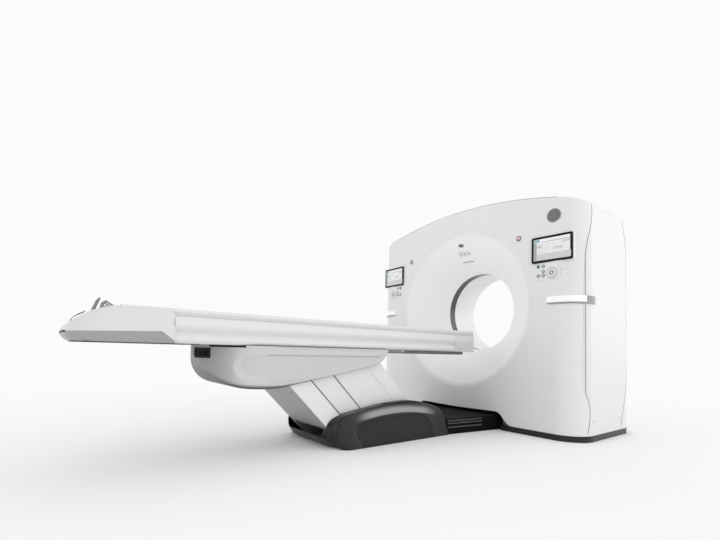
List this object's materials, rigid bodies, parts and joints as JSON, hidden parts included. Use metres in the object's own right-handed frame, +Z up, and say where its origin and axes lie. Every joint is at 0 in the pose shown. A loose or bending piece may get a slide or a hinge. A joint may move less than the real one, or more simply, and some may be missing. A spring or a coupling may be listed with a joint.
{
  "type": "ct scanner",
  "caption": "Hospital whole-body scanner: ring gantry with a wide funnel bore, rotating source and detector inside, and a rising patient table with a sliding cradle.",
  "frame": {"origin": "on the floor straight below the point where the bore's axis meets the scan plane, the centre of the gantry's anchor holes", "axes": "+Y along the bore's axis from the table into the gantry, +Z up, +X to the right seen from the table's foot end"},
  "size_m": [2.254, 4.021, 1.985],
  "materials": {
    "cover_white": "satin",
    "table_white": "satin",
    "cap_grey": "matte",
    "base_dark": "satin",
    "window_dark": "gloss",
    "frame_steel": "satin",
    "bearing_steel": "satin",
    "rotor_alloy": "satin",
    "tube_metal": "satin",
    "weight_iron": "matte",
    "belt_black": "matte",
    "screen_black": "gloss",
    "button_grey": "satin",
    "stop_red": "satin",
    "lamp_white": "gloss",
    "screw_steel": "satin",
    "handle_metal": "satin"
  },
  "bodies": {
    "root": {"gantry_frame": "frame_steel", "stator_ring": "bearing_steel", "drive_motor": "frame_steel", "drive_belt": "belt_black", "front_cover": "cover_white", "rear_cover": "cover_white", "side_cover_left": "cover_white", "side_cover_right": "cover_white", "top_cover": "cover_white", "cover_screws": "screw_steel", "plinth": "base_dark", "scan_window": "window_dark", "bore_liner": "cover_white", "tablet_left": "screen_black", "tablet_right": "screen_black", "control_panels": "cover_white", "light_bars": "lamp_white", "front_throat": "cover_white", "rear_throat": "cover_white", "table_frame": "frame_steel", "lift_motor": "frame_steel", "base_cover": "base_dark", "floor_tray": "base_dark"},
    "rotor": {"rotor_drum": "rotor_alloy", "bearing_inner_ring": "bearing_steel", "slip_ring": "rotor_alloy", "xray_tube": "tube_metal", "collimator": "tube_metal", "hv_generator": "rotor_alloy", "counterweight": "weight_iron", "detector_arc": "tube_metal"},
    "pulley": {"motor_pulley": "rotor_alloy"},
    "leg_foot": {"link_foot": "frame_steel", "leg_panel_1": "table_white"},
    "leg_head": {"link_head": "frame_steel", "leg_panel_4": "table_white"},
    "leg_mid_foot": {"leg_panel_2": "table_white"},
    "leg_mid_head": {"leg_panel_3": "table_white"},
    "saddle": {"saddle_frame": "frame_steel", "saddle_shell": "table_white", "beam": "table_white", "foot_cap": "table_white", "head_cap": "cap_grey", "under_tray": "base_dark"},
    "cradle": {"cradle": "table_white"},
    "handle": {"release_handle": "handle_metal"},
    "key_left_1": {"button_left_1": "button_grey"},
    "key_left_2": {"button_left_2": "button_grey"},
    "key_left_3": {"button_left_3": "button_grey"},
    "key_left_4": {"button_left_4": "button_grey"},
    "key_left_5": {"button_left_5": "button_grey"},
    "dial_left": {"dial_button_left": "button_grey"},
    "stop_left": {"stop_button_left": "stop_red"},
    "key_right_1": {"button_right_1": "button_grey"},
    "key_right_2": {"button_right_2": "button_grey"},
    "key_right_3": {"button_right_3": "button_grey"},
    "key_right_4": {"button_right_4": "button_grey"},
    "key_right_5": {"button_right_5": "button_grey"},
    "dial_right": {"dial_button_right": "button_grey"},
    "stop_right": {"stop_button_right": "stop_red"}
  },
  "joints": [
    {"name": "rotor_spin", "type": "hinge", "parent": "root", "child": "rotor", "pos_m": [0, 0, 1.057], "axis": [0, 1, 0], "continuous": true},
    {"name": "pulley_spin", "type": "hinge", "parent": "root", "child": "pulley", "pos_m": [0.617, 0, 0.3215], "axis": [0, 1, 0], "continuous": true},
    {"name": "table_lift", "type": "hinge", "parent": "root", "child": "leg_foot", "pos_m": [0, -1.94, 0.13], "axis": [-1, 0, 0], "range_deg": [-23, 20]},
    {"name": "head_link_turn", "type": "hinge", "parent": "root", "child": "leg_head", "pos_m": [0, -1.155, 0.13], "axis": [-1, 0, 0], "range_deg": [-23, 20]},
    {"name": "panel_2_turn", "type": "hinge", "parent": "root", "child": "leg_mid_foot", "pos_m": [0, -1.80141, 0.13], "axis": [-1, 0, 0], "range_deg": [-23, 20]},
    {"name": "panel_3_turn", "type": "hinge", "parent": "root", "child": "leg_mid_head", "pos_m": [0, -1.47614, 0.13], "axis": [-1, 0, 0], "range_deg": [-23, 20]},
    {"name": "saddle_level", "type": "hinge", "parent": "leg_foot", "child": "saddle", "pos_m": [0, -2.35012, 0.54012], "axis": [-1, 0, 0], "range_deg": [-20, 23]},
    {"name": "cradle_slide", "type": "slide", "parent": "saddle", "child": "cradle", "axis": [0, 1, 0], "range_m": [0, 1.6]},
    {"name": "handle_pull", "type": "hinge", "parent": "saddle", "child": "handle", "pos_m": [0, -3.277, 0.795], "axis": [1, 0, 0], "range_deg": [0, 35], "stiffness_Nm_per_rad": 2},
    {"name": "press_left_1", "type": "slide", "parent": "root", "child": "key_left_1", "axis": [0, 1, 0], "range_m": [0, 0.0015], "stiffness_N_per_m": 1500},
    {"name": "press_left_2", "type": "slide", "parent": "root", "child": "key_left_2", "axis": [0, 1, 0], "range_m": [0, 0.0015], "stiffness_N_per_m": 1500},
    {"name": "press_left_3", "type": "slide", "parent": "root", "child": "key_left_3", "axis": [0, 1, 0], "range_m": [0, 0.0015], "stiffness_N_per_m": 1500},
    {"name": "press_left_4", "type": "slide", "parent": "root", "child": "key_left_4", "axis": [0, 1, 0], "range_m": [0, 0.0015], "stiffness_N_per_m": 1500},
    {"name": "press_left_5", "type": "slide", "parent": "root", "child": "key_left_5", "axis": [0, 1, 0], "range_m": [0, 0.0015], "stiffness_N_per_m": 1500},
    {"name": "press_dial_left", "type": "slide", "parent": "root", "child": "dial_left", "axis": [0, 1, 0], "range_m": [0, 0.0015], "stiffness_N_per_m": 2500},
    {"name": "push_stop_left", "type": "slide", "parent": "root", "child": "stop_left", "axis": [0, 1, 0], "range_m": [0, 0.004]},
    {"name": "press_right_1", "type": "slide", "parent": "root", "child": "key_right_1", "axis": [0, 1, 0], "range_m": [0, 0.0015], "stiffness_N_per_m": 1500},
    {"name": "press_right_2", "type": "slide", "parent": "root", "child": "key_right_2", "axis": [0, 1, 0], "range_m": [0, 0.0015], "stiffness_N_per_m": 1500},
    {"name": "press_right_3", "type": "slide", "parent": "root", "child": "key_right_3", "axis": [0, 1, 0], "range_m": [0, 0.0015], "stiffness_N_per_m": 1500},
    {"name": "press_right_4", "type": "slide", "parent": "root", "child": "key_right_4", "axis": [0, 1, 0], "range_m": [0, 0.0015], "stiffness_N_per_m": 1500},
    {"name": "press_right_5", "type": "slide", "parent": "root", "child": "key_right_5", "axis": [0, 1, 0], "range_m": [0, 0.0015], "stiffness_N_per_m": 1500},
    {"name": "press_dial_right", "type": "slide", "parent": "root", "child": "dial_right", "axis": [0, 1, 0], "range_m": [0, 0.0015], "stiffness_N_per_m": 2500},
    {"name": "push_stop_right", "type": "slide", "parent": "root", "child": "stop_right", "axis": [0, 1, 0], "range_m": [0, 0.004]}
  ],
  "couplings": [
    {"joint": "pulley_spin", "follows": "rotor_spin", "ratio": 13.167},
    {"joint": "head_link_turn", "follows": "table_lift", "ratio": 1},
    {"joint": "panel_2_turn", "follows": "table_lift", "ratio": 1},
    {"joint": "panel_3_turn", "follows": "table_lift", "ratio": 1},
    {"joint": "saddle_level", "follows": "table_lift", "ratio": -1}
  ]
}
